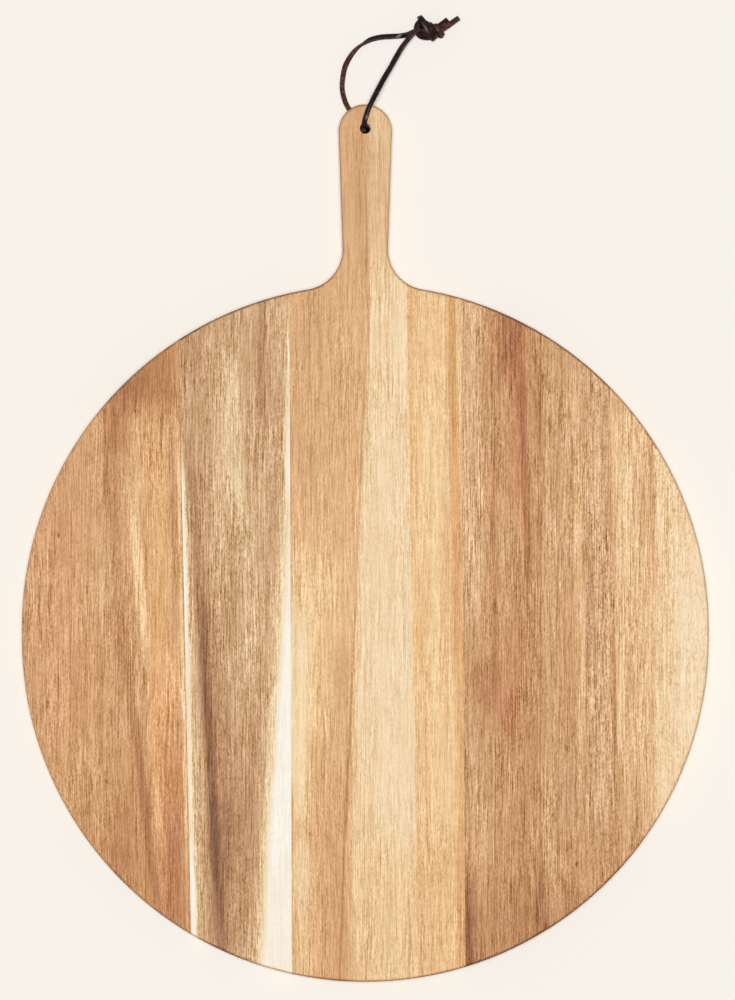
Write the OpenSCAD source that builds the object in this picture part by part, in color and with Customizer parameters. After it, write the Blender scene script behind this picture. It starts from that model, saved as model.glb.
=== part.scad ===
// Round pizza serving board: six edge-glued staves with a straight handle and a leather hanging lace.
// X runs across the grain, Y along it towards the handle, and Z up from the table that the board lies on.
// The origin is the middle of the plate's underside.

/* [Plate] */
// Width of the plate across the grain
plate_w = 400; // [360:1:440]
// How much longer the plate is along the grain than across it
plate_stretch = 6; // [1:0.5:12]
// Thickness of the board
board_t = 15; // [14:0.5:22]
// Radius of the eased edges
edge_r = 2; // [1:0.25:3]

/* [Handle] */
// Distance from the middle of the plate to the end of the handle
handle_reach = 308; // [290:1:340]
// Width of the handle at its round end
handle_w = 31; // [28:0.5:36]
// Angle by which each side of the handle draws in towards the plate
handle_draw = 1.9; // [0.5:0.1:2.5]
// Radius of the hollow shoulder between handle and plate
shoulder_r = 24; // [15:0.5:40]
// Length of the sloping underside, from the end of the handle
relief_l = 84; // [60:1:88]
// Height of the underside above the table at the end of the handle
relief_h = 4.5; // [4:0.1:6]

/* [Lace hole] */
// Diameter of the hole through the handle
hole_d = 6.4; // [6:0.1:9]
// Distance from the end of the handle to the middle of the hole
hole_inset = 14; // [12:0.5:20]

/* [Staves] */
// Distance from the centre line to the left seam of the handle stave
handle_stave_left = 43.5; // [30:0.5:60]
// Distance from the centre line to the right seam of the handle stave
handle_stave_right = 27.5; // [20:0.5:40]
// Width of the inner left stave at the middle of the plate
left_inner_w = 61.5; // [40:0.5:80]
// Width of the slim right stave at the middle of the plate
right_slim_w = 29.5; // [20:0.5:40]
// Width of the inner right stave at the middle of the plate
right_inner_w = 88.5; // [60:0.5:100]
// Lean of each seam to the left on its way towards the handle, from left to right, in degrees
seam_lean = [1.2, 0.2, 1, 0.4, 1.2]; // [0:0.1:2]

/* [Lace] */
// Width of the leather lace
lace_w = 3.1; // [2.5:0.1:3.4]
// Thickness of the leather lace
lace_t = 2.1; // [1.6:0.1:2.2]
// Width of the bevel on the lace's corners
lace_bevel = 0.5; // [0.3:0.1:0.7]

/* [Knot] */
// Direction of the knot from its legs to its tails, in degrees from X
knot_turn = 30; // [0:1:60]
// Length of the two strands inside the knot
knot_l = 15; // [12:0.5:18]
// Width of the knot across its strands
knot_w = 15.5; // [13:0.5:17]
// Height of the knot
knot_h = 10; // [9:0.5:11]

/* [Hidden] */
$fn = 96;
// How far a cutter reaches past what it cuts
over = 5;
lace_colour = "#3a2320";

// The plate is two half rounds with a short straight rim between them
plate_r = plate_w / 2;
arc_y = plate_stretch / 2;

// Neighbouring curves run this far into each other, so that they cross and don't only touch
lap = 0.06;
// Flats that make up each eased edge
edge_steps = 4;

// The handle ends in a half round, which its sides just cut into
tip_r = handle_w / 2;
tip_y = handle_reach - tip_r;
side_along = [sin(handle_draw), cos(handle_draw)];
side_out = [cos(handle_draw), -sin(handle_draw)];
side_r = tip_r - lap;

// Each shoulder blends the handle's side into the upper half round
tip_rise = tip_y - arc_y;
shoulder_side = side_r + shoulder_r;
shoulder_lift = sqrt(pow(plate_r + shoulder_r, 2) - pow(shoulder_side - tip_rise * sin(handle_draw), 2));
handle_side_l = tip_rise * cos(handle_draw) - shoulder_lift;
shoulder_c = [0, tip_y] + shoulder_side * side_out - handle_side_l * side_along;
shoulder_foot = shoulder_c - shoulder_r * side_out;
rim_angle = atan2(shoulder_c.y - arc_y, shoulder_c.x);
neck_w = 2 * shoulder_foot.x;

// The handle's eased sides run on into the shoulders, and its flat middle into the plate
handle_root = shoulder_r / 2;
neck_root = plate_r - shoulder_r;
strip_sink = 0.01;

// The underside of the handle slopes up to its end, with its own eased edge
relief_y = handle_reach - relief_l;
relief_angle = atan(relief_h / relief_l);
relief_grow = 0.6;

hole_y = handle_reach - hole_inset;

// Seams from left to right, where they cross the middle of the plate
seam_x = [
    -handle_stave_left - left_inner_w,
    -handle_stave_left,
    handle_stave_right,
    handle_stave_right + right_slim_w,
    handle_stave_right + right_slim_w + right_inner_w
];
// Half the length of the slabs that the staves are cut with
slab_l = handle_reach + over;

// Routes of the lace from the middle of the hole, with Y counted from the end of the handle
hole_mid = board_t - 6;
front_leg_route = [
    [0, -hole_inset, hole_mid], [0, -hole_inset, board_t - 3.5], [0.2, 0.8 - hole_inset, board_t - 0.5],
    [0.6, 2.9 - hole_inset, board_t + 1.7], [1.3, 6 - hole_inset, board_t + 2.5], [2.6, -4, board_t + 2.3],
    [4.2, 0, board_t + 1.7], [8, 8, board_t - 0.4], [11.5, 15, board_t - 2.8], [15, 21.5, board_t - 4.8],
    [19, 28, board_t - 6.4], [22.5, 33.5, 7.7], [26, 38, 7.1], [30, 41.5, 6.7], [34, 44, 6.4]
];
back_leg_route = [
    [0, -hole_inset, hole_mid], [0, -hole_inset, 7.2], [-0.5, 0.6 - hole_inset, 4.2],
    [-1.8, 2.4 - hole_inset, 2], [-3.6, 4.8 - hole_inset, 1.2], [-6.5, -5.5, 1.2], [-9, -2, 1.2],
    [-10.8, 2, 1.2], [-12, 7, 1.2], [-12.5, 12, 1.2], [-12, 17, 1.2], [-10.5, 22, 1.2], [-8.5, 27, 1.2],
    [-5.5, 31, 1.2], [-1.5, 35, 1.2], [3, 38, 1.2], [7.5, 39.5, 1.2], [12, 40.1, 1.3], [16.5, 40.3, 1.6],
    [21, 40.3, 2.1], [25, 40.6, 2.8], [29, 42, 3.5], [33, 44, 3.9]
];
long_tail_route = [[41, 43, 4.4], [46, 44.6, 4.1], [51, 47.4, 3.4], [56, 50.4, 2.6]];
short_tail_route = [[39, 45.6, 6.8], [43.3, 46.6, 7], [46.4, 48, 6.8], [49.5, 49.3, 6.5]];
// The knot's middle, counted like the routes, with a hair of room under the knot
knot_lift = 0.2;
knot_at = [39, 44.6, knot_h / 2 + knot_lift];
// The knot's two strands are pressed together, and turns of lace wrap round them
knot_strand_d = 5.6;
knot_strand_step = 4.6;
knot_wraps = 3;
knot_wrap_gap = 0.3;
wrap_rings = 24;

// Quarter of an eased edge, from one angle on
function eased_corner(edge, z, from) = [
    for (i = [0:edge_steps])
        let (turn = from + 90 * i / edge_steps)
        [edge + edge_r * (cos(turn) - 1), z + edge_r * sin(turn)]
];

// Section of the board through its edge, from a depth inside it
module edge_profile(edge, depth) {
    under = eased_corner(edge, edge_r, -90);
    top = eased_corner(edge, board_t - edge_r, 0);
    polygon(concat([[edge - depth, 0]], under, top, [[edge - depth, board_t]]));
}

// Straight stretch of the board, from its edge at x = 0 inwards
module edge_run(length, depth) {
    translate([0, length, 0])
        rotate([90, 0, 0])
            linear_extrude(length)
                edge_profile(0, depth);
}

// Part of a round disc, from one angle to another
module disc_sector(radius, from, to) {
    rotate_extrude(angle = to - from, start = from)
        edge_profile(radius, radius);
}

// Its child on the right-hand side and mirrored on the left-hand side
module both_sides() {
    for (side = [0, 1])
        mirror([side, 0, 0])
            children();
}

module plate() {
    translate([0, -arc_y, 0])
        disc_sector(plate_r, 180, 360);
    translate([0, arc_y, 0])
        disc_sector(plate_r, 0, 180);
    both_sides()
        translate([plate_r, -arc_y, 0])
            edge_run(plate_stretch, plate_r);
}

// Hollow curve that leads from the plate's rim into the right side of the handle
module shoulder() {
    translate(shoulder_c)
        rotate_extrude(angle = rim_angle + handle_draw, start = 180 - handle_draw)
            translate([shoulder_r + lap, 0])
                mirror([1, 0])
                    edge_profile(0, neck_w / 2);
}

// Eased strip along one side of the handle, from x = 0 inwards, a hair inside the handle's flat faces
module side_strip(length) {
    under = eased_corner(0, edge_r + strip_sink, -90);
    top = eased_corner(0, board_t - edge_r - strip_sink, 0);
    translate([0, length, 0])
        rotate([90, 0, 0])
            linear_extrude(length)
                polygon(concat(under, top, [[-neck_w / 4, board_t / 2]]));
}

// Outline of the handle's flat middle, from inside the plate to the round end
function handle_flat(half) =
    let (
        top = [0, tip_y] + half * side_out,
        low = top - (top.y - neck_root) / side_along.y * side_along
    )
    [top, low, [-low.x, low.y], [-top.x, top.y]];

// Straight part and round end of the handle, with its outline moved out by a distance
module handle(grow) {
    side = side_r + grow;
    both_sides()
        translate([0, tip_y, 0])
            rotate([0, 0, -handle_draw])
                translate([side, -handle_side_l - handle_root, 0])
                    side_strip(handle_side_l + handle_root);
    linear_extrude(board_t)
        polygon(handle_flat(side - edge_r + lap / 2));
    translate([0, tip_y, 0])
        disc_sector(tip_r + grow, 0, 360);
}

// What is planed away under the handle, to leave room for fingers and for the lace
module handle_relief() {
    translate([0, relief_y, 0])
        rotate([relief_angle, 0, 0])
            difference() {
                translate([-handle_w, 0, -relief_h - over])
                    cube([2 * handle_w, relief_l + handle_w, relief_h + over + edge_r + relief_grow]);
                translate([0, -relief_y, 0])
                    handle(relief_grow);
            }
}

module lace_hole() {
    translate([0, hole_y, -over])
        cylinder(d = hole_d, h = board_t + 2 * over);
}

// The whole board before it is told apart into staves
module board() {
    difference() {
        union() {
            plate();
            both_sides()
                shoulder();
            handle(0);
        }
        handle_relief();
        lace_hole();
    }
}

// Place of a seam at a distance along the grain
function seam_at(index, y) = seam_x[index] - y * tan(seam_lean[index]);

// Slab between two seams, or between a seam and the open side of the board
module stave_slab(index) {
    outside = plate_r + over;
    left = [for (y = [-slab_l, slab_l]) [index == 0 ? -outside : seam_at(index - 1, y), y]];
    right = [for (y = [slab_l, -slab_l]) [index == len(seam_x) ? outside : seam_at(index, y), y]];
    translate([0, 0, -over])
        linear_extrude(board_t + 2 * over)
            polygon(concat(left, right));
}

module stave(index) {
    intersection() {
        board();
        stave_slab(index);
    }
}

module outer_left_stave() {
    color("#c08a5c") stave(0);
}

module inner_left_stave() {
    color("#b18a60") stave(1);
}

module handle_stave() {
    color("#dcb27c") stave(2);
}

module slim_right_stave() {
    color("#e2b878") stave(3);
}

module inner_right_stave() {
    color("#bf8d5f") stave(4);
}

module outer_right_stave() {
    color("#d6ad7a") stave(5);
}

// Corner points of the lace's flat section, as shares of its width and thickness directions
lace_section = let (a = lace_w / 2, b = lace_t / 2, c = lace_bevel) [
    [a, c - b], [a, b - c], [a - c, b], [c - a, b], [-a, b - c], [-a, c - b], [c - a, -b], [a - c, -b]
];

function unit(v) = v / norm(v);
function step(path, i) = path[min(i + 1, len(path) - 1)] - path[max(i - 1, 0)];

// Level direction in which a route runs at a point, taken from further on where it climbs upright
upright_step = 0.3;
function heading(path, i) =
    let (d = step(path, i), level = [d.x, d.y])
    norm(level) > upright_step ? unit(level) : heading(path, i + 1);

// Flat of the lace lies level, so its width runs square to the heading
function level_side(path, i) = let (h = heading(path, i)) [-h.y, h.x, 0];

function section_ring(at, along, side) =
    let (up = cross(along, side))
    [for (p = lace_section) at + p.x * side + p.y * up];

// Triangles of the skin between neighbouring rings
function skin_faces(count, rings) = [
    for (i = [0:rings - 2], j = [0:count - 1])
        let (k = (j + 1) % count, a = i * count, b = a + count)
        each [[a + j, b + j, b + k], [a + j, b + k, a + k]]
];

// Strip of lace along the points of a route
module lace_strip(route) {
    count = len(lace_section);
    points = [
        for (i = [0:len(route) - 1])
            each section_ring(route[i], unit(step(route, i)), level_side(route, i))
    ];
    last = (len(route) - 1) * count;
    start_cap = [for (j = [0:count - 1]) j];
    end_cap = [for (j = [0:count - 1]) last + count - 1 - j];
    translate([0, handle_reach, 0])
        polyhedron(points, concat([start_cap], skin_faces(count, len(route)), [end_cap]));
}

// One turn of lace round the knot's strands, at a place along them
module knot_wrap(at) {
    count = len(lace_section);
    half_w = (knot_w - lace_t) / 2;
    half_h = (knot_h - lace_t) / 2;
    points = [
        for (i = [0:wrap_rings - 1])
            let (turn = 360 * i / wrap_rings)
            each section_ring(
                [at, half_w * cos(turn), half_h * sin(turn)],
                unit([0, -half_w * sin(turn), half_h * cos(turn)]),
                [1, 0, 0])
    ];
    total = wrap_rings * count;
    faces = [for (f = skin_faces(count, wrap_rings + 1)) [for (v = f) v % total]];
    polyhedron(points, faces);
}

// One of the two strands inside the knot
module knot_strand() {
    half = (knot_l - knot_strand_d) / 2;
    rotate([0, 90, 0])
        cylinder(d = knot_strand_d, h = 2 * half, center = true);
    for (x = [-half, half])
        translate([x, 0, 0])
            sphere(d = knot_strand_d);
}

module lace_front_leg() {
    color(lace_colour) lace_strip(front_leg_route);
}

module lace_back_leg() {
    color(lace_colour) lace_strip(back_leg_route);
}

module lace_knot() {
    color(lace_colour)
        translate([0, handle_reach, 0] + knot_at)
            rotate([0, 0, knot_turn]) {
                for (side = [-1, 1])
                    translate([0, side * knot_strand_step / 2, 0])
                        knot_strand();
                for (i = [0:knot_wraps - 1])
                    knot_wrap((i - (knot_wraps - 1) / 2) * (lace_w + knot_wrap_gap));
            }
}

module lace_long_tail() {
    color(lace_colour) lace_strip(long_tail_route);
}

module lace_short_tail() {
    color(lace_colour) lace_strip(short_tail_route);
}

outer_left_stave();
inner_left_stave();
handle_stave();
slim_right_stave();
inner_right_stave();
outer_right_stave();
lace_front_leg();
lace_back_leg();
lace_knot();
lace_long_tail();
lace_short_tail();
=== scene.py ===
"""Round pizza serving board of six staves with a knotted leather lace, laid flat and seen from above."""

import math
from collections import namedtuple

import bpy
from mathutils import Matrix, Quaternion, Vector


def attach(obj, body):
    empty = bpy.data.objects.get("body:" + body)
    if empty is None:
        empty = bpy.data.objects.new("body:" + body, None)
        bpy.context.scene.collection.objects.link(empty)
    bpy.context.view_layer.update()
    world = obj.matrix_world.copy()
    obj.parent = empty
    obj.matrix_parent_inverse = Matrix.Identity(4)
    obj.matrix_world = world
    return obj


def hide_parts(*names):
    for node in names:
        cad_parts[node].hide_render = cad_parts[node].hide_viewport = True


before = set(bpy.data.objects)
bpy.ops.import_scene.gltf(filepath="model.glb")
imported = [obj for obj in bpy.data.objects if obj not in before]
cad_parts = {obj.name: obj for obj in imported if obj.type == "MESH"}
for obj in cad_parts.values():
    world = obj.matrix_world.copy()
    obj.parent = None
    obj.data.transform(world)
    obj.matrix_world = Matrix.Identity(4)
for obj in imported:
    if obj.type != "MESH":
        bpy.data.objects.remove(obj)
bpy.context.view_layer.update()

# Lengths in the routes and figures below are in millimetres
MM = 0.001
PER_METRE = 1000
BOARD_T = 15
HANDLE_REACH = 308

# The camera looks straight down, from far off, at the part of the table that the photograph shows
VIEW_HEIGHT = 582.2
VIEW_CENTRE = (1.3, 77.6)
LENS = 400
SENSOR = 36
FARTHEST_SEEN_M = 100


def srgb(red, green, blue):
    """Linear colour for a colour given in steps from 0 to 255."""
    steps = [value / 255 for value in (red, green, blue)]
    linear = [s / 12.92 if s <= 0.04045 else ((s + 0.055) / 1.055) ** 2.4 for s in steps]
    return (*linear, 1.0)


def add_camera():
    data = bpy.data.cameras.new("camera")
    data.lens = LENS
    data.sensor_width = SENSOR
    data.clip_end = FARTHEST_SEEN_M
    camera = bpy.data.objects.new("camera", data)
    distance = VIEW_HEIGHT * LENS / SENSOR
    camera.location = Vector((*VIEW_CENTRE, BOARD_T + distance)) * MM
    bpy.context.collection.objects.link(camera)
    bpy.context.scene.camera = camera


add_camera()

# The lace: a flat strip whose smooth side is waxed and whose other faces are rough.
# Each route runs from the hole through the knot to the strip's end, with Y counted from the end of the
# handle. The two routes lie side by side in the hole and fill it. The fourth number is the strip's roll
# about its own line, in degrees, which brings the smooth or the rough side to the top.
LACE_W = 2.9
LACE_T = 1.8
LACE_ROUND = 0.4
ROUND_STEPS = 3
RING_STEP = 0.5
# The rough side's width wavers by this share, in two waves that turn by so many radians at each ring
RAGGED_SHARE = 0.05
RAGGED_TURNS = (1.9, 0.53)

FRONT_ROUTE = [
    (1.3, -16, 2.2, 0), (1.4, -15, 4.8, 0), (1.4, -14.2, 9, 0), (0.6, -13.4, 13, 0),
    (-0.5, -12.3, 16, 0), (-0.3, -9.8, 17.3, 0), (0.4, -7.2, 17.6, 0), (1.4, -4, 17.3, 0),
    (3.1, 0, 16.7, 5), (7.1, 8, 14.6, 30), (10.8, 15, 12.2, 30), (14.6, 21.5, 10.4, 10),
    (18.2, 28, 9, -15), (21.4, 33.4, 8.3, -30), (24.2, 37.2, 7.9, -40), (26.3, 39.7, 7.7, -45),
    (28.6, 42.2, 7.4, -45), (31, 44, 7.1, -40), (33.6, 44.9, 6.4, -20), (36.2, 45.2, 5.6, 0),
    (38, 45.4, 5.4, 40), (39.4, 46, 6, 90), (40.7, 46.2, 7.2, 120), (41.7, 45.2, 8.1, 135),
    (42.8, 43.6, 8.3, 135), (44, 41.9, 7.7, 135), (44.9, 40.9, 5.9, 135), (44.8, 40.5, 3.8, 130),
    (43, 40.8, 2.2, 130), (41, 42.4, 1.9, 150), (38.4, 44.7, 1.9, 180), (35.8, 47.2, 1.9, 215),
    (33.2, 49.8, 3, 250), (31.9, 51.1, 5.2, 275), (32.2, 50.3, 7.4, 280), (33.3, 48.7, 8.5, 280),
    (35, 46, 8.9, 280), (36.5, 43.1, 8.9, 280), (38.4, 40.6, 8.2, 280), (39.6, 39, 6.6, 280),
    (40, 38.5, 5, 280), (38.5, 39.3, 4, 290), (36.9, 40.6, 4, 340), (35, 41.6, 4.2, 400),
    (33.3, 43, 4.6, 425), (32.6, 45, 4.8, 425), (33.8, 46.5, 4.6, 410), (36, 46, 4.1, 360),
    (39, 44.2, 3.8, 310), (42, 43.2, 4.2, 275), (45.4, 44.3, 4.6, 265), (50, 47.5, 4.2, 265),
    (54.6, 50.8, 3.6, 265),
]
BACK_ROUTE = [
    (-1.3, -15, 12, 0), (-1.2, -15.2, 8, 0), (-1.1, -15.6, 4.8, 0), (-1.2, -16.2, 2.5, -5),
    (-1.8, -14.8, 1.5, -15), (-2.7, -12.4, 1.3, -20), (-4.2, -9.6, 1.3, -25), (-7.2, -5.5, 1.3, -25),
    (-9.8, -1.8, 1.3, -25), (-11.7, 2, 1.3, -25), (-13.1, 7, 1.3, -25), (-13.5, 11.5, 1.3, -25),
    (-13, 16.5, 1.3, -15), (-11.9, 22, 1.4, 0), (-9.3, 27.4, 1.6, 20), (-5.6, 32.3, 1.7, 45),
    (-1, 35.9, 1.7, 75), (3.2, 38.2, 1.8, 110), (7.7, 39.4, 1.8, 125), (12, 39.9, 1.8, 130),
    (16.5, 40.1, 1.9, 140), (20.5, 40.4, 1.9, 160), (24.6, 41.1, 2, 185), (27.6, 42.4, 2, 185),
    (30.4, 43.6, 2.2, 155), (33.4, 44.2, 2.4, 155), (36.2, 44.4, 2.8, 155), (38.2, 45, 3, 150),
    (38.6, 46.1, 3.2, 110), (37.9, 46.8, 4.8, 50), (37.4, 46.7, 6.6, 10), (38, 46, 8, -10),
    (39.2, 44.2, 8.5, -10), (40.4, 42.4, 7.8, -10), (41.2, 41.2, 6.2, -5), (41.3, 40.4, 4.2, 40),
    (39.6, 39.7, 2.4, 70), (37.2, 39.4, 2, 80), (34.4, 39.5, 2.2, 80), (31.8, 40.5, 3, 75),
    (30.2, 42.6, 4.2, 70), (29.9, 45, 4.6, 60), (30.7, 47.3, 4.6, 60), (32.3, 48.7, 4.2, 70),
    (34.4, 48.3, 3.8, 80), (36.8, 46.8, 4.2, 85), (39.6, 45.8, 5.2, 85), (42.4, 45.8, 6, 75),
    (45, 47.3, 6.1, 75), (48.1, 49.7, 5.8, 75),
]


def curve_point(a, b, c, d, t):
    """Point between b and c on the smooth curve through four neighbours."""
    pull = (c - a) * t + (2 * a - 5 * b + 4 * c - d) * t ** 2 + (3 * b - a - 3 * c + d) * t ** 3
    return b + pull / 2


def smooth_route(route):
    """Close points on a smooth curve through the route, each with its roll."""
    points = [Vector(point) for point in route]
    points = [2 * points[0] - points[1], *points, 2 * points[-1] - points[-2]]
    close = []
    for a, b, c, d in zip(points, points[1:], points[2:], points[3:]):
        count = max(2, math.ceil((c.xyz - b.xyz).length / RING_STEP))
        close += [curve_point(a, b, c, d, i / count) for i in range(count)]
    close.append(points[-2])
    return close


def strip_section():
    """Outline of the strip's section, and which of its sides belong to the smooth face."""
    half_w = LACE_W / 2 - LACE_ROUND
    half_t = LACE_T / 2 - LACE_ROUND
    outline = []
    for index, (sx, sy) in enumerate([(1, 1), (-1, 1), (-1, -1), (1, -1)]):
        for step in range(ROUND_STEPS + 1):
            turn = math.radians(90 * (index + step / ROUND_STEPS))
            across = sx * half_w + LACE_ROUND * math.cos(turn)
            up = sy * half_t + LACE_ROUND * math.sin(turn)
            outline.append((across, up))
    smooth = set(range(1, 2 * ROUND_STEPS + 1))
    return outline, smooth


def strip_frames(points, first_side):
    """Direction across the strip and out of its smooth face at each point, carried along the route."""
    frames = []
    side = Vector(first_side)
    for i, point in enumerate(points):
        ahead = points[min(i + 1, len(points) - 1)].xyz
        behind = points[max(i - 1, 0)].xyz
        along = (ahead - behind).normalized()
        side = (side - side.dot(along) * along).normalized()
        rolled = Quaternion(along, math.radians(point.w)) @ side
        frames.append((rolled, rolled.cross(along)))
    return frames


def strip_corners(centres, frames, outline):
    """Corners of the strip's section at each point, a little ragged on the rough side."""
    first_turn, second_turn = RAGGED_TURNS
    corners = []
    for i, (centre, (side, out)) in enumerate(zip(centres, frames)):
        ragged = RAGGED_SHARE * math.sin(first_turn * i) * math.sin(second_turn * i)
        for across, up in outline:
            wide = across * (1 + ragged) if up < 0 else across
            corners.append(centre + (wide * side + up * out) * MM)
    return corners


def strip_faces(rings, count, smooth):
    """Faces between the rings and at both ends, and the slot of each: 0 for smooth and 1 for rough."""
    faces = []
    slots = []
    for ring in range(rings - 1):
        for j in range(count):
            a = ring * count + j
            b = ring * count + (j + 1) % count
            faces.append((a, b, b + count, a + count))
            slots.append(0 if j in smooth else 1)
    last = (rings - 1) * count
    faces += [tuple(reversed(range(count))), tuple(range(last, last + count))]
    slots += [1, 1]
    return faces, slots


def add_strip(name, route, first_side):
    """Mesh of a strip of lace along a route, and the points that it follows."""
    points = smooth_route(route)
    centres = [(point.xyz + Vector((0, HANDLE_REACH, 0))) * MM for point in points]
    outline, smooth = strip_section()
    corners = strip_corners(centres, strip_frames(points, first_side), outline)
    faces, slots = strip_faces(len(points), len(outline), smooth)
    mesh = bpy.data.meshes.new(name)
    mesh.from_pydata(corners, [], faces)
    mesh.polygons.foreach_set("material_index", slots)
    mesh.shade_smooth()
    strip = bpy.data.objects.new(name, mesh)
    bpy.context.collection.objects.link(strip)
    return strip, centres


def add_lace():
    front, front_path = add_strip("lace_front", FRONT_ROUTE, (1, 0, 0))
    back, back_path = add_strip("lace_back", BACK_ROUTE, (-1, 0, 0))
    for strip in (front, back):
        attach(strip, "lace")
    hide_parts("lace_front_leg", "lace_knot", "lace_long_tail")
    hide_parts("lace_back_leg", "lace_short_tail")
    return front, back


lace_pieces = add_lace()


def put(tree, socket, value):
    """Sets a socket to a value, or links it to another socket."""
    if isinstance(value, bpy.types.NodeSocket):
        tree.links.new(value, socket)
    else:
        socket.default_value = value


def add_node(tree, kind, inputs=None, **settings):
    """Node with its settings made before its inputs, because a group's inputs come from its tree."""
    node = tree.nodes.new(kind)
    for name, value in settings.items():
        setattr(node, name, value)
    for key, value in (inputs or {}).items():
        put(tree, node.inputs[key], value)
    return node


def calc(tree, operation, *values):
    """Result of a Math node."""
    return add_node(tree, "ShaderNodeMath", dict(enumerate(values)), operation=operation).outputs[0]


def vector_calc(tree, operation, *values):
    """Result of a Vector Math node."""
    inputs = dict(enumerate(values))
    return add_node(tree, "ShaderNodeVectorMath", inputs, operation=operation).outputs[0]


def ramp_between(tree, value, low, high, to_low=0.0, to_high=1.0):
    """Smooth step of a value from one limit to another."""
    inputs = {0: value, 1: low, 2: high, 3: to_low, 4: to_high}
    return add_node(tree, "ShaderNodeMapRange", inputs, interpolation_type="SMOOTHSTEP").outputs[0]


def noise(tree, place, waves, detail=1.0, roughness=0.5):
    """Noise from 0 to 1 at a place in millimetres, with a number of waves per millimetre each way."""
    stretched = vector_calc(tree, "MULTIPLY", place, waves)
    inputs = {"Vector": stretched, "Scale": 1.0, "Detail": detail, "Roughness": roughness}
    return add_node(tree, "ShaderNodeTexNoise", inputs).outputs[0]


def centred(tree, value, size):
    """A value from 0 to 1 as one that swings round 0."""
    return calc(tree, "MULTIPLY_ADD", value, 2 * size, -size)


def add_up(tree, start, parts):
    """Sum of a value and of parts, each with its own weight."""
    total = start
    for part, weight in parts:
        total = calc(tree, "MULTIPLY_ADD", part, weight, total)
    return total


def sideways(tree, amount):
    """Vector that moves a place across the grain."""
    return add_node(tree, "ShaderNodeCombineXYZ", {"X": amount}).outputs[0]


def new_group(name, inputs, outputs):
    """Empty node group with plain number sockets, and a vector where the name says place."""
    group = bpy.data.node_groups.new(name, "ShaderNodeTree")
    for socket in inputs:
        kind = "NodeSocketVector" if socket == "Place" else "NodeSocketFloat"
        group.interface.new_socket(socket, in_out="INPUT", socket_type=kind)
    for socket in outputs:
        group.interface.new_socket(socket, in_out="OUTPUT", socket_type="NodeSocketFloat")
    source = group.nodes.new("NodeGroupInput").outputs
    sink = group.nodes.new("NodeGroupOutput").inputs
    return group, source, sink


# Waves of the grain's noises per millimetre: across the grain, along it and through the board
DRIFT_WAVES = (0.02, 0.007, 0.02)
RIPPLE_WAVES = (0.15, 0.03, 0.15)
STRAND_WAVES = (2.1, 0.09, 2.1)
SPECK_WAVES = (1.9, 0.55, 1.9)
LINE_WAVES = (1.2, 0.012, 1.2)
RICH_WAVES = (0.06, 0.02, 0.06)
BAND_WAVES = (0.24, 0.005, 0.24)
STROKE_WAVES = (1.5, 0.024, 1.5)
CURL_WAVES = (0.3, 0.3, 0.3)
FLECK_WAVES = (1.3, 0.4, 1.3)
CROSS_WAVES = (0.10, 0.42, 0.10)
CLOUD_WAVES = (0.05, 0.018, 0.05)
# How far the grain drifts and ripples sideways and how far its flecks curl
DRIFT = 2.0
RIPPLE = 0.35
CURL = 2.5
# Share of the drift that the streaks follow, and their run sideways per millimetre of depth
STREAK_DRIFT = 0.3
STREAK_SLANT = 0.3
# Strength of the fibres' specks and lines beside that of their strands, and the roughness of the lines
SPECK_STRENGTH = 0.8
LINE_STRENGTH = 0.8
LINE_ROUGHNESS = 0.65
# Limits of the noise between poor and rich places, and the strength of the fibres in each
RICH_LIMITS = (0.3, 0.7)
RICH_STRENGTH = (0.7, 1.3)
# Limits of the noise between which a stroke and a fleck come out
STROKE_LIMITS = (0.61, 0.71)
FLECK_LIMITS = (0.52, 0.68)
# A pin knot's length in widths, and the shares of its size between which it fades
KNOT_STRETCH = 2
KNOT_FADE = (0.4, 1.3)


def make_streak_group():
    """How much a place belongs to one streak of the wood, from 0 to 1."""
    names = ["X", "Y", "Centre", "Lean", "Half", "Soft", "Low", "High", "Fade"]
    group, source, sink = new_group("wood_streak", names, ["Mask"])
    middle = calc(group, "MULTIPLY_ADD", source["Lean"], source["Y"], source["Centre"])
    off = calc(group, "ABSOLUTE", calc(group, "SUBTRACT", source["X"], middle))
    outer = calc(group, "ADD", source["Half"], source["Soft"])
    inner = calc(group, "SUBTRACT", source["Half"], source["Soft"])
    across = ramp_between(group, off, inner, outer, 1.0, 0.0)
    low_end = calc(group, "ADD", source["Low"], source["Fade"])
    high_end = calc(group, "SUBTRACT", source["High"], source["Fade"])
    above = ramp_between(group, source["Y"], source["Low"], low_end)
    below = ramp_between(group, source["Y"], high_end, source["High"], 1.0, 0.0)
    put(group, sink["Mask"], calc(group, "MULTIPLY", across, calc(group, "MULTIPLY", above, below)))
    return group


def make_knot_group():
    """How much a place belongs to a small knot in the wood, from 0 to 1."""
    group, source, sink = new_group("wood_pin_knot", ["X", "Y", "Across", "Along", "Size"], ["Mask"])
    dx = calc(group, "SUBTRACT", source["X"], source["Across"])
    dy = calc(group, "DIVIDE", calc(group, "SUBTRACT", source["Y"], source["Along"]), KNOT_STRETCH)
    squares = calc(group, "MULTIPLY_ADD", dx, dx, calc(group, "MULTIPLY", dy, dy))
    reach = calc(group, "DIVIDE", calc(group, "SQRT", squares), source["Size"])
    put(group, sink["Mask"], ramp_between(group, reach, *KNOT_FADE, 1.0, 0.0))
    return group


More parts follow.
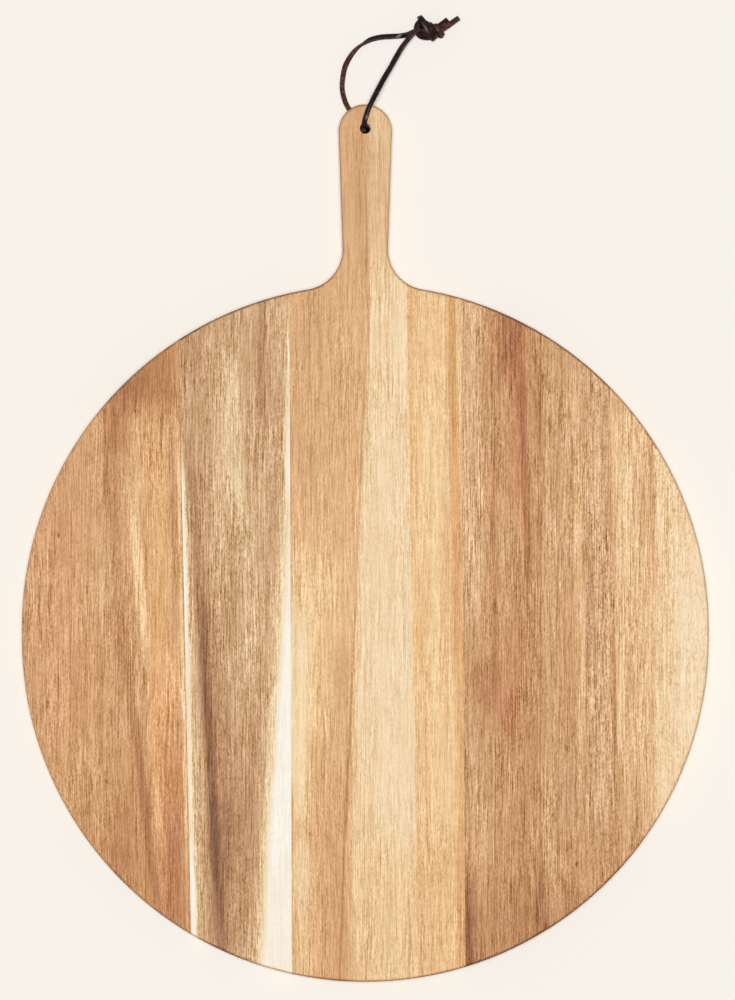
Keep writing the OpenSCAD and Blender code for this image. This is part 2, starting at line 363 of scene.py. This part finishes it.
def fibre_pattern(group, place):
    """Light and dark of the fibres: strands, specks and long lines, richer in some places."""
    strands = centred(group, noise(group, place, STRAND_WAVES), 1.0)
    specks = centred(group, noise(group, place, SPECK_WAVES), SPECK_STRENGTH)
    lines = noise(group, place, LINE_WAVES, detail=2.0, roughness=LINE_ROUGHNESS)
    fibre = calc(group, "ADD", strands, specks)
    fibre = calc(group, "ADD", fibre, centred(group, lines, LINE_STRENGTH))
    rich = ramp_between(group, noise(group, place, RICH_WAVES), *RICH_LIMITS, *RICH_STRENGTH)
    return calc(group, "MULTIPLY", fibre, rich)


def make_grain_group():
    """Fibres, bands, strokes, flecks and cross figure of the wood at a place in millimetres."""
    names = ["X", "Y", "Fibre", "Band", "Stroke", "Fleck", "Cross", "Cloud"]
    group, source, sink = new_group("wood_grain", ["Place", "Seed"], names)
    seed = add_node(group, "ShaderNodeCombineXYZ", {"X": source["Seed"], "Y": source["Seed"]}).outputs[0]
    place = vector_calc(group, "ADD", source["Place"], seed)
    split = add_node(group, "ShaderNodeSeparateXYZ", {0: source["Place"]}).outputs
    drift = centred(group, noise(group, place, DRIFT_WAVES, detail=2.0), DRIFT)
    ripple = centred(group, noise(group, place, RIPPLE_WAVES), RIPPLE)
    moved = vector_calc(group, "ADD", place, sideways(group, calc(group, "ADD", drift, ripple)))
    curl = centred(group, noise(group, moved, CURL_WAVES), CURL)
    curled = vector_calc(group, "ADD", moved, sideways(group, curl))
    depth = calc(group, "SUBTRACT", split["Z"], BOARD_T)
    slanted = calc(group, "MULTIPLY_ADD", depth, STREAK_SLANT, split["X"])
    shift = calc(group, "MULTIPLY_ADD", drift, STREAK_DRIFT, ripple)
    results = {
        "X": calc(group, "ADD", slanted, shift),
        "Y": split["Y"],
        "Fibre": fibre_pattern(group, moved),
        "Band": centred(group, noise(group, moved, BAND_WAVES, detail=2.0), 1.0),
        "Stroke": ramp_between(group, noise(group, moved, STROKE_WAVES), *STROKE_LIMITS),
        "Fleck": ramp_between(group, noise(group, curled, FLECK_WAVES), *FLECK_LIMITS),
        "Cross": centred(group, noise(group, moved, CROSS_WAVES, detail=2.0), 1.0),
        "Cloud": centred(group, noise(group, moved, CLOUD_WAVES, detail=2.0), 1.0),
    }
    for name, result in results.items():
        put(group, sink[name], result)
    return group


streak_group = make_streak_group()
knot_group = make_knot_group()
grain_group = make_grain_group()

# Tones of the wood from the darkest heart to the palest sapwood, with their places on the scale of tones
WOOD_TONES = [
    (0.00, (114, 70, 46)),
    (0.15, (150, 102, 70)),
    (0.30, (180, 127, 88)),
    (0.42, (197, 148, 104)),
    (0.54, (211, 165, 121)),
    (0.66, (224, 181, 135)),
    (0.78, (237, 203, 158)),
    (0.88, (243, 217, 178)),
    (1.00, (251, 240, 222)),
]

# A streak of wood: its middle at Y = 0, its half width and soft edge, by how much it changes the tone and
# the warmth, how far it leans per millimetre, where it ends along the grain and over what length it fades
# there, how strongly wavy flecks show in it and how red it is
Streak = namedtuple(
    "Streak", "x half soft tone warm lean low high fade flecks red",
    defaults=(0.0, 0.0, -260, 360, 40, 0.0, 0.0))

# A stave's wood: base tone, warmth and greenness, strength of its cross figure, fibres and strokes, how
# much painted shade darkens its eased edge (below 0, painted light brightens it), a seed for its noise,
# its pin knots with place and size, and its streaks
Wood = namedtuple("Wood", "tone warm green cross fibres strokes edge seed knots streaks")

OUTER_LEFT = Wood(
    tone=0.52, warm=0.25, green=0.0, cross=0.02, fibres=1.3, strokes=0.6, edge=-0.15, seed=11.0,
    knots=[(-178.6, 57, 0.9)],
    streaks=[
        # Golden streak and the orange wood to its right
        Streak(-128.6, 3, 1.5, 0.24, 0.0, -0.085, -35, 100, 45),
        Streak(-132.5, 4, 3, 0.14, 0.1, 0.0, 60, 128, 28),
        Streak(-128.6, 2.5, 1.5, 0.13, 0.2, -0.085, -150, -20, 50),
        Streak(-119, 6.5, 3, 0.09, 0.5, -0.04, -120, 145),
        # Brown band to its left, with a purple-brown line that leans towards the bottom right
        Streak(-142.5, 4, 2.5, -0.14, 0.1, -0.062, -60, 200, 60),
        Streak(-140.4, 2.5, 1.5, -0.16, 0.0, -0.122, -190, -10, 45),
        Streak(-142, 6, 4, -0.10, 0.0, 0.0, -230, -80),
        # Lighter wood round the band, and darker wood below it with a lighter patch
        Streak(-149, 14, 6, 0.07, -0.1, 0.0, 5, 75, 25),
        Streak(-162, 10, 8, -0.05, 0.1, 0.0, -80, 20),
        Streak(-140, 45, 12, -0.08, 0.1, 0.0, -240, -30, 60),
        Streak(-162, 9, 5, 0.09, 0.0, 0.05, -120, -45, 30),
        # Dark patch at the top with a darker core and foot
        Streak(-122, 17, 4, -0.18, 0.2, -0.03, 118, 230, 25),
        Streak(-131, 4, 3, -0.10, -0.2, 0.0, 125, 165, 18),
        Streak(-139, 6, 4, -0.18, 0.1, -0.03, 95, 160, 20),
        # Strip along the seam, red-brown above and below and lighter between
        Streak(-109, 3, 2, -0.09, 0.3, -0.021, 10, 100, 30),
        Streak(-110.5, 2.5, 1.5, 0.10, 0.2, -0.021, -50, 5, 20),
        Streak(-115, 5.5, 3.5, -0.12, 0.1, -0.021, -190, -50),
        # Edge of the sapwood sliver
        Streak(-106.6, 0.9, 0.5, 0.28, 0.0, -0.021, -150, 126, 40),
        # Wavy wood at the rim, and a red tinge near the rim and near the seam
        Streak(-190, 10, 8, -0.02, 0.0, 0.0, -60, 40, 40, 0.4),
        Streak(-177, 13, 8, 0.0, 0.0, 0.0, -90, 110, 60, red=0.9),
        Streak(-117, 8, 6, 0.0, 0.0, -0.02, -190, 20, 50, red=0.9),
    ],
)

INNER_LEFT = Wood(
    tone=0.52, warm=-0.45, green=0.6, cross=0.02, fibres=1.45, strokes=0.7, edge=0.8, seed=23.0,
    knots=[(-80, 91, 0.7)],
    streaks=[
        # Sapwood wedge along the right seam, its thin top, its white middle and a darker line beside it
        Streak(-21.5, 30, 6.5, 0.45, 0.15, 0.063),
        Streak(-44.4, 2.2, 1, 0.20, 0.0, -0.004, 60, 205),
        Streak(-43, 6, 4, 0.07, 0.0, 0.0, -140, 30),
        Streak(-58.5, 2.5, 2, -0.06, 0.0, 0.058, -50, 110),
        # Sapwood sliver along the left seam, pale wood beside and below it, brown wood above it
        Streak(-107.6, 5, 1.5, 0.40, 0.1, -0.026, -300, 126, 40),
        Streak(-101.2, 3.5, 2.5, 0.09, 0.1, -0.055, -110, 110, 40),
        Streak(-104, 9, 3, 0.14, 0.2, 0.0, -300, -110, 50),
        Streak(-101, 8, 5, -0.12, 0.0, 0.0, 135, 240, 30),
        # Purple-brown streak and the brown wood to its right
        Streak(-95.2, 3.2, 2.6, -0.19, -0.1, -0.057, -230, 130, 60),
        Streak(-95, 2.4, 2.2, -0.11, -0.1, -0.057, -180, 30, 40),
        Streak(-90.5, 6, 5, -0.12, 0.0, -0.054, -230, 60, 60),
        Streak(-76, 9, 6, -0.10, 0.0, 0.0, -160, -70),
        Streak(-72, 12, 6, -0.06, 0.0, 0.0, -200, -20),
        # Wavy wood, and lighter wood above it
        Streak(-85, 10, 6, 0.02, 0.0, -0.06, -240, 70, 50, 0.5),
        Streak(-85, 4, 3, 0.08, 0.0, 0.0, -10, 150),
        # Lighter wood in the middle beside a brown patch, golden strip and dark strokes near the top
        Streak(-64, 9, 6, 0.09, 0.0, 0.0, -40, 110),
        Streak(-74, 5, 4, -0.08, 0.0, 0.0, -15, 45, 20),
        Streak(-71, 5, 4, 0.22, 0.05, -0.05, 45, 190, 50),
        Streak(-60.5, 2.5, 1.5, -0.14, 0.0, 0.0, 90, 240),
        Streak(-77.5, 1.5, 1.2, -0.10, 0.0, 0.0, 135, 240, 30),
    ],
)

HANDLE = Wood(
    tone=0.59, warm=0.4, green=0.1, cross=0.03, fibres=0.95, strokes=0.6, edge=0.9, seed=37.0,
    knots=[(-32.1, -117, 0.8)],
    streaks=[
        # Pale half to the right, less pale near the neck
        Streak(44.3, 50, 4, 0.24, -0.45, 0.027),
        Streak(11, 12, 4, -0.04, 0.0, 0.0, 95, 170, 30),
        # Dark grain line between the halves, on the plate, in the grip and between
        Streak(-6.5, 0.6, 0.5, -0.17, 0.0, 0.042, -260, 190, 40),
        Streak(5.4, 0.7, 0.5, -0.20, 0.0, -0.02, 150, 275, 30),
        Streak(0, 2.4, 1.4, -0.10, 0.2, 0.0, 110, 240, 30),
        # Paler wood along the left seam, with a dark line at the seam
        Streak(-45, 14, 6, 0.11, -0.1, 0.0, -300, 70, 50),
        Streak(-41, 7, 4, 0.15, -0.1, 0.0, -120, 30),
        Streak(-36, 6, 3, 0.10, -0.3, 0.0, -172, -115, 25),
        Streak(-42.2, 0.7, 0.5, -0.14, 0.0, 0.0, -150, -75, 30),
        # Lighter wood left of the grain line, and cooler wood at the top left
        Streak(-27, 8, 5, 0.13, 0.0, 0.0, -75, 55, 30),
        Streak(-13, 8, 4, 0.09, 0.0, 0.02, -20, 60, 25),
        Streak(-24, 22, 6, 0.04, 0.0, 0.0, 15, 120),
        Streak(-9, 9, 4, 0.045, -0.1, 0.0, 140, 250, 30),
        Streak(-29, 10, 6, -0.04, -0.15, 0.0, 145, 240, 30),
        # Darker honey towards the bottom
        Streak(-4, 7, 4, -0.07, 0.0, 0.02, -130, -55, 25),
        Streak(-10, 5, 4, -0.08, 0.0, 0.0, -230, -150, 20),
        Streak(-17, 7, 4, -0.07, 0.1, 0.02, -260, -60),
        Streak(12, 24, 4, -0.09, 0.2, 0.0, -300, -100),
        # Cooler grip with a darker right half
        Streak(0, 20, 4, 0.0, -0.3, 0.0, 200, 360),
        Streak(8, 14, 4, -0.06, 0.1, 0.0, 185, 360),
        Streak(8, 6, 3, -0.03, 0.0, 0.0, 220, 272, 20),
        Streak(11, 3, 2, -0.08, 0.1, 0.0, 195, 360),
        Streak(5.5, 3, 2, -0.05, 0.0, 0.0, 190, 360, 30),
        # Leaning strokes beside the neck
        Streak(14, 0.5, 0.5, -0.12, 0.0, -0.03, 130, 215, 20),
        Streak(19, 0.6, 0.5, -0.10, 0.0, -0.04, 120, 200, 20),
    ],
)

SLIM_RIGHT = Wood(
    tone=0.745, warm=0.45, green=0.1, cross=0.07, fibres=0.9, strokes=0.4, edge=1.0, seed=41.0,
    knots=[],
    streaks=[
        # Orange streak near the right seam
        Streak(54, 2.6, 1.5, -0.15, 0.5, -0.019, -40, 280),
        Streak(56, 3, 2, -0.12, 0.3, -0.007, -280, 0, 80),
        # Paler middle, and darker wood on the left and at the bottom
        Streak(41, 4, 3, 0.05, 0.0, -0.01, -140, 150),
        Streak(30, 3, 2, -0.04, 0.2, -0.017, -40, 260),
        Streak(33, 4, 3, -0.05, 0.1, 0.0, -40, 20, 20),
        Streak(42, 20, 6, -0.06, 0.1, 0.0, -300, -95),
    ],
)

INNER_RIGHT = Wood(
    tone=0.45, warm=0.1, green=0.0, cross=0.03, fibres=1.45, strokes=0.6, edge=1.5, seed=53.0,
    knots=[(123, -134.6, 0.9)],
    streaks=[
        # Grey-tan wood along the left seam, patches further down, and a dark line and patch to its right
        Streak(59, 9, 3, 0.17, -0.4, 0.0, -20, 280, 60),
        Streak(60, 7, 4, 0.02, 0.0, 0.0, -55, 5, 20),
        Streak(62, 6, 4, 0.06, -0.2, 0.0, -115, -30, 25),
        Streak(68, 5, 3, 0.09, 0.0, 0.0, -200, -80, 25),
        Streak(58, 5, 3, -0.17, 0.0, 0.0, -280, -120, 25),
        Streak(64, 10, 5, -0.11, 0.1, 0.0, -230, -150, 20),
        Streak(75.2, 1.8, 1.2, -0.14, 0.0, 0.0, -40, 150),
        Streak(72, 7, 4, -0.12, 0.1, 0.0, -55, -5, 20),
        # Red-brown streaks, with lighter wood between them
        Streak(83, 8, 4, -0.14, 0.1, 0.0, 125, 280, 35),
        Streak(84, 7, 4, 0.08, 0.0, 0.0, 30, 90, 25),
        Streak(91, 6, 4, -0.02, 0.0, -0.01, 50, 230, 40, red=1.2),
        Streak(84, 8, 5, 0.0, 0.0, 0.0, -70, 20, 30, red=0.7),
        Streak(84, 5, 3, -0.09, 0.1, 0.0, -75, -20, 20, red=0.4),
        Streak(95.5, 2, 1.4, -0.14, 0.2, -0.03, 10, 175),
        Streak(92, 8, 5, -0.03, 0.1, 0.0),
        # Dark line with brown wood at its top and bottom
        Streak(102, 0.5, 0.4, -0.14, 0.0, 0.0, -170, 220),
        Streak(103, 6, 4, -0.09, 0.0, 0.0, 105, 170, 20),
        Streak(102.5, 4.5, 3, -0.14, 0.1, 0.0, -220, -120, 30),
        # Lighter wood to its right, with brown and golden lines
        Streak(107.5, 4, 2.5, 0.09, -0.1, 0.0, -180),
        Streak(130, 15, 3, 0.09, -0.25, 0.0, -130, 220),
        Streak(125, 2.2, 1.2, 0.12, 0.2, -0.022, -90, 170),
        Streak(119, 3.5, 2, -0.11, 0.3, 0.0, -80, 55, 30),
        Streak(131.2, 2, 1.5, -0.10, 0.1, 0.0, -40, 60, 30),
        Streak(122, 6, 3, -0.08, 0.1, 0.0, -110, -55, 20),
        # Wavy pale wood and a brown line along the right seam
        Streak(136, 8, 2, 0.03, 0.0, -0.02, -200, 200, 40, 0.8),
        Streak(135.6, 3.5, 2, 0.07, -0.1, -0.02, -120, 160),
        Streak(144.3, 1.4, 0.8, -0.08, 0.2, -0.021, -200, 30),
        # Darker wood at the bottom
        Streak(95, 60, 10, -0.06, 0.0, 0.0, -300, -125),
    ],
)

OUTER_RIGHT = Wood(
    tone=0.69, warm=0.05, green=0.0, cross=0.03, fibres=1.3, strokes=0.6, edge=0.9, seed=67.0,
    knots=[],
    streaks=[
        # Wavy cream wood towards the rim
        Streak(192, 23, 2, 0.12, 0.0, 0.0, -260, 360, 40, 0.6),
        Streak(198, 19, 3, 0.08, -0.1, 0.0, -90, 80),
        # Pale wood along the seam
        Streak(153, 6, 3, 0.06, 0.0, 0.0, 5, 115, 25),
        Streak(149, 2, 1, 0.09, 0.0, -0.01, -85, 20, 30),
        # Brown lines, and darker wood at the bottom
        Streak(170, 1.7, 1.2, -0.13, 0.1, -0.04, 10, 130, 30),
        Streak(162.6, 1.5, 1.2, -0.08, 0.0, 0.0, 45, 110, 25),
        Streak(155, 1, 0.8, -0.08, 0.0, 0.0, -80, 10),
        Streak(151, 11, 7, -0.19, 0.1, 0.0, -230, -60, 50),
    ],
)

STAVES = {
    "outer_left_stave": OUTER_LEFT,
    "inner_left_stave": INNER_LEFT,
    "handle_stave": HANDLE,
    "slim_right_stave": SLIM_RIGHT,
    "inner_right_stave": INNER_RIGHT,
    "outer_right_stave": OUTER_RIGHT,
}

# How strongly each part of the grain and the board's end grain change the tone, and how much painted
# shade darkens the board's eased edge and its side wall
BAND_TONE = 0.07
CLOUD_TONE = 0.06
STROKE_TONE = -0.28
FLECK_TONE = -0.25
PIN_KNOT_TONE = -0.35
END_GRAIN_TONE = -0.20
EDGE_SHADE_TONE = -0.35
SIDE_SHADE_TONE = -0.20
# Limits of the normal's part along the grain for end grain, and of its upright part for the painted shade
# on the eased edge and on the side
END_GRAIN_FACING = (0.15, 0.9)
EDGE_FACING = (0.55, 0.93)
SIDE_FACING = (0.0, 0.5)
# The grip is worn smooth: where that begins and is complete, and the share left of fibres, end grain tone
# and painted edge shade
GRIP_WORN = (180, 240)
GRIP_LEFT = 0.6
# Tones between which sapwood begins, and the share of the fibres and strokes that still shows on it
SAPWOOD_TONES = (0.72, 0.95)
SAPWOOD_FIBRES = 0.15
# Tones between which the wood's greenness ends
GREEN_TONES = (0.75, 0.95)
# Change of the linear colour for one step of the fibres' light and dark, of warmth and of greenness
FIBRE_SHADE = (0.46, 0.60, 0.90)
WARM_TINT = (0.05, -0.03, -0.20)
GREEN_TINT = (-0.04, 0.03, 0.0)
NO_CHANGE = (1, 1, 1)
# Oiled surface: its roughness and how that follows the fibres, its gloss, its relief and sunken strokes
WOOD_ROUGHNESS = 0.60
FIBRE_ROUGHNESS = 0.08
WOOD_SPECULAR = 0.12
WOOD_BUMP = 0.35
WOOD_RELIEF = 0.05
STROKE_SINK = 1.5


def new_material(name):
    material = bpy.data.materials.new(name)
    material.use_nodes = True
    tree = material.node_tree
    tree.nodes.clear()
    return material, tree


def finish_material(tree, shader_inputs):
    shader = add_node(tree, "ShaderNodeBsdfPrincipled", shader_inputs)
    add_node(tree, "ShaderNodeOutputMaterial", {"Surface": shader.outputs[0]})


def place_in_mm(tree, coordinates):
    """Place on an object in millimetres."""
    return vector_calc(tree, "MULTIPLY", coordinates["Object"], (PER_METRE, PER_METRE, PER_METRE))


def tone_ramp(tree, value, tones):
    """Colour of a tone, between the colours that are given for some tones."""
    node = add_node(tree, "ShaderNodeValToRGB", {0: value})
    elements = node.color_ramp.elements
    while len(elements) < len(tones):
        elements.new(0.5)
    for element, (place, colour) in zip(elements, tones):
        element.position = place
        element.color = srgb(*colour)
    return node.outputs[0]


def relief(tree, height, strength, depth):
    """Normal of a surface whose relief is so many millimetres deep."""
    inputs = {"Height": height, "Strength": strength, "Distance": depth * MM}
    return add_node(tree, "ShaderNodeBump", inputs).outputs[0]


def group_outputs(tree, group, inputs):
    return add_node(tree, "ShaderNodeGroup", inputs, node_tree=group).outputs


def streak_masks(tree, grain, streaks):
    """How much a place belongs to each streak."""
    masks = []
    for part in streaks:
        inputs = {
            "X": grain["X"], "Y": grain["Y"], "Centre": part.x, "Lean": part.lean, "Half": part.half,
            "Soft": part.soft, "Low": part.low, "High": part.high, "Fade": part.fade,
        }
        masks.append(group_outputs(tree, streak_group, inputs)["Mask"])
    return masks


def knot_masks(tree, grain, knots):
    """How much a place belongs to each pin knot."""
    masks = []
    for across, along, size in knots:
        inputs = {"X": grain["X"], "Y": grain["Y"], "Across": across, "Along": along, "Size": size}
        masks.append(group_outputs(tree, knot_group, inputs)["Mask"])
    return masks


def weighted(masks, streaks, field):
    """Pairs of a streak's mask and one of its values, for the streaks where that isn't 0."""
    pairs = [(mask, getattr(part, field)) for mask, part in zip(masks, streaks)]
    return [(mask, value) for mask, value in pairs if value]


def end_grain_and_shade_masks(tree, normal, worn):
    """How much a place is end grain, and how much painted shade its eased edge and its side get."""
    facing = add_node(tree, "ShaderNodeSeparateXYZ", {0: normal}).outputs
    end_grain = ramp_between(tree, calc(tree, "ABSOLUTE", facing["Y"]), *END_GRAIN_FACING)
    upright = calc(tree, "ABSOLUTE", facing["Z"])
    side = ramp_between(tree, upright, *SIDE_FACING, 1.0, 0.0)
    eased_shade = calc(tree, "SUBTRACT", ramp_between(tree, upright, *EDGE_FACING, 1.0, 0.0), side)
    return calc(tree, "MULTIPLY", end_grain, worn), calc(tree, "MULTIPLY", eased_shade, worn), side


def wood_tone(tree, wood, grain, masks, end_grain_and_shade):
    """Tone of the wood at a place, and the share of its fibres that shows there."""
    end_grain, eased_shade, side = end_grain_and_shade
    tone = add_up(tree, wood.tone, weighted(masks, wood.streaks, "tone"))
    tone = add_up(tree, tone, [
        (grain["Band"], BAND_TONE), (grain["Cloud"], CLOUD_TONE), (grain["Cross"], wood.cross),
        (end_grain, END_GRAIN_TONE),
    ])
    heart = ramp_between(tree, tone, *SAPWOOD_TONES, 1.0, SAPWOOD_FIBRES)
    strokes = calc(tree, "MULTIPLY", grain["Stroke"], heart)
    wavy = add_up(tree, 0.0, weighted(masks, wood.streaks, "flecks"))
    flecks = calc(tree, "MULTIPLY", grain["Fleck"], wavy)
    tone = add_up(tree, tone, [(mask, PIN_KNOT_TONE) for mask in knot_masks(tree, grain, wood.knots)])
    # Painted shade darkens the eased edge, by each stave's own amount, and the side wall
    tone = add_up(tree, tone, [
        (strokes, STROKE_TONE * wood.strokes), (flecks, FLECK_TONE), (eased_shade, EDGE_SHADE_TONE * wood.edge),
        (side, SIDE_SHADE_TONE),
    ])
    return tone, heart


def wood_colour(tree, wood, masks, tone):
    """Colour of a tone, with the tints of the stave and of its streaks."""
    warmth = add_up(tree, wood.warm, weighted(masks, wood.streaks, "warm"))
    green = ramp_between(tree, tone, *GREEN_TONES, wood.green, 0.0)
    green = add_up(tree, green, [(mask, -red) for mask, red in weighted(masks, wood.streaks, "red")])
    tint = vector_calc(tree, "MULTIPLY_ADD", green, GREEN_TINT, NO_CHANGE)
    tint = vector_calc(tree, "MULTIPLY_ADD", warmth, WARM_TINT, tint)
    return vector_calc(tree, "MULTIPLY", tone_ramp(tree, tone, WOOD_TONES), tint)


def wood_material(name, wood):
    """Wood of one stave, from the place on the board and the direction of its surface, with painted edge
    shade.
    """
    material, tree = new_material(name)
    coordinates = add_node(tree, "ShaderNodeTexCoord").outputs
    grain_inputs = {"Place": place_in_mm(tree, coordinates), "Seed": wood.seed}
    grain = group_outputs(tree, grain_group, grain_inputs)
    masks = streak_masks(tree, grain, wood.streaks)
    worn = ramp_between(tree, grain["Y"], *GRIP_WORN, 1.0, GRIP_LEFT)
    end_grain_and_shade = end_grain_and_shade_masks(tree, coordinates["Normal"], worn)
    tone, heart = wood_tone(tree, wood, grain, masks, end_grain_and_shade)
    strength = calc(tree, "MULTIPLY", calc(tree, "MULTIPLY", heart, worn), wood.fibres)
    shown = calc(tree, "MULTIPLY", grain["Fibre"], strength)
    shade = vector_calc(tree, "MULTIPLY_ADD", shown, FIBRE_SHADE, NO_CHANGE)
    height = add_up(tree, grain["Fibre"], [(grain["Stroke"], -STROKE_SINK)])
    finish_material(tree, {
        "Base Color": vector_calc(tree, "MULTIPLY", wood_colour(tree, wood, masks, tone), shade),
        "Roughness": calc(tree, "MULTIPLY_ADD", grain["Fibre"], FIBRE_ROUGHNESS, WOOD_ROUGHNESS),
        "Normal": relief(tree, height, WOOD_BUMP, WOOD_RELIEF),
        "Specular IOR Level": WOOD_SPECULAR,
    })
    return material


def dress_staves():
    for name, wood in STAVES.items():
        node = bpy.data.objects[name]
        node.data.materials.clear()
        node.data.materials.append(wood_material(name.replace("stave", "wood"), wood))


dress_staves()

# A side of the leather: its tones, roughness, waves of its grain per millimetre, relief and gloss
Leather = namedtuple("Leather", "tones roughness waves relief specular")

SMOOTH_SIDE = Leather(
    tones=[(0.0, (16, 9, 8)), (0.6, (31, 19, 18)), (1.0, (52, 34, 32))],
    roughness=0.24, waves=3.0, relief=0.04, specular=0.13,
)
ROUGH_SIDE = Leather(
    tones=[(0.0, (46, 27, 26)), (0.5, (78, 47, 44)), (1.0, (108, 72, 66))],
    roughness=0.8, waves=2.2, relief=0.15, specular=0.1,
)
# Colour of the leather's waxy reflections
LEATHER_SHEEN = (1.0, 0.86, 0.84, 1.0)
# Noise of the leather: waves of its clouds, detail, roughness of its fine grain and limits for the tones
LEATHER_CLOUDS = (0.5, 0.5, 0.5)
LEATHER_DETAIL = 3.0
FINE_ROUGHNESS = 0.65
LEATHER_LIMITS = (0.25, 0.8)
# By how much the fine grain changes tone and roughness, the height of the cells, and the bump's strength
FINE_TONE = 0.3
FINE_GLOSS = 0.1
CELL_HEIGHT = 0.7
LEATHER_BUMP = 0.6


def leather_material(name, leather):
    """Leather with small uneven cells, fine grain and cloudy tones."""
    material, tree = new_material(name)
    place = place_in_mm(tree, add_node(tree, "ShaderNodeTexCoord").outputs)
    waves = (leather.waves, leather.waves, leather.waves)
    cloud = noise(tree, place, LEATHER_CLOUDS, LEATHER_DETAIL)
    fine = noise(tree, place, waves, LEATHER_DETAIL, FINE_ROUGHNESS)
    cells = add_node(tree, "ShaderNodeTexVoronoi", {"Vector": place, "Scale": leather.waves}).outputs[0]
    mixed = calc(tree, "ADD", cloud, centred(tree, fine, FINE_TONE))
    height = add_up(tree, fine, [(cells, CELL_HEIGHT)])
    finish_material(tree, {
        "Base Color": tone_ramp(tree, ramp_between(tree, mixed, *LEATHER_LIMITS), leather.tones),
        "Roughness": calc(tree, "ADD", centred(tree, fine, FINE_GLOSS), leather.roughness),
        "Normal": relief(tree, height, LEATHER_BUMP, leather.relief),
        "Specular IOR Level": leather.specular,
        "Specular Tint": LEATHER_SHEEN,
    })
    return material


def dress_lace(pieces):
    smooth = leather_material("lace_smooth_side", SMOOTH_SIDE)
    rough = leather_material("lace_rough_side", ROUGH_SIDE)
    for piece in pieces:
        piece.data.materials.append(smooth)
        piece.data.materials.append(rough)


dress_lace(lace_pieces)

# Plain pale table and soft, even light, so that each colour shows about as it is written
TABLE_COLOUR = srgb(247, 243, 235)
TABLE_HALF_M = 4.0
TABLE_DROP = 0.3
WHITE = (1, 1, 1, 1)
SKY_LIGHT = 0.15
# Each lamp: name, share of the light, and in degrees its height and the direction that it shines from
LAMPS = [("key_light", 0.51, 87.5, 125), ("fill_light", 0.34, 87.5, -40)]
LAMP_SPREAD = 14


def add_table():
    mesh = bpy.data.meshes.new("table")
    ways = [(-1, -1), (1, -1), (1, 1), (-1, 1)]
    corners = [(x * TABLE_HALF_M, y * TABLE_HALF_M, -TABLE_DROP * MM) for x, y in ways]
    mesh.from_pydata(corners, [], [(0, 1, 2, 3)])
    table = bpy.data.objects.new("table", mesh)
    bpy.context.collection.objects.link(table)
    material, tree = new_material("table_surface")
    finish_material(tree, {"Base Color": TABLE_COLOUR, "Roughness": 1.0, "Specular IOR Level": 0.0})
    mesh.materials.append(material)


def add_lamps():
    for name, share, height, turn in LAMPS:
        data = bpy.data.lights.new(name, "SUN")
        up = math.radians(height)
        data.energy = share * math.pi / math.sin(up)
        data.angle = math.radians(LAMP_SPREAD)
        lamp = bpy.data.objects.new(name, data)
        around = math.radians(turn)
        toward = Vector((math.cos(around) * math.cos(up), math.sin(around) * math.cos(up), math.sin(up)))
        lamp.rotation_mode = "QUATERNION"
        lamp.rotation_quaternion = toward.to_track_quat("Z", "Y")
        bpy.context.collection.objects.link(lamp)


def add_sky():
    """Even light from all sides, which the camera and reflections see in the table's colour."""
    world = bpy.data.worlds.new("sky")
    world.use_nodes = True
    tree = world.node_tree
    tree.nodes.clear()
    light = add_node(tree, "ShaderNodeBackground", {"Color": WHITE, "Strength": SKY_LIGHT})
    seen = add_node(tree, "ShaderNodeBackground", {"Color": TABLE_COLOUR, "Strength": 1.0})
    ray = add_node(tree, "ShaderNodeLightPath").outputs
    direct = calc(tree, "MAXIMUM", ray["Is Camera Ray"], ray["Is Transmission Ray"])
    direct = calc(tree, "MAXIMUM", direct, ray["Is Glossy Ray"])
    mixed = add_node(tree, "ShaderNodeMixShader", {0: direct, 1: light.outputs[0], 2: seen.outputs[0]})
    add_node(tree, "ShaderNodeOutputWorld", {"Surface": mixed.outputs[0]})
    bpy.context.scene.world = world


add_table()
add_lamps()
add_sky()
bpy.context.scene.view_settings.view_transform = "Standard"
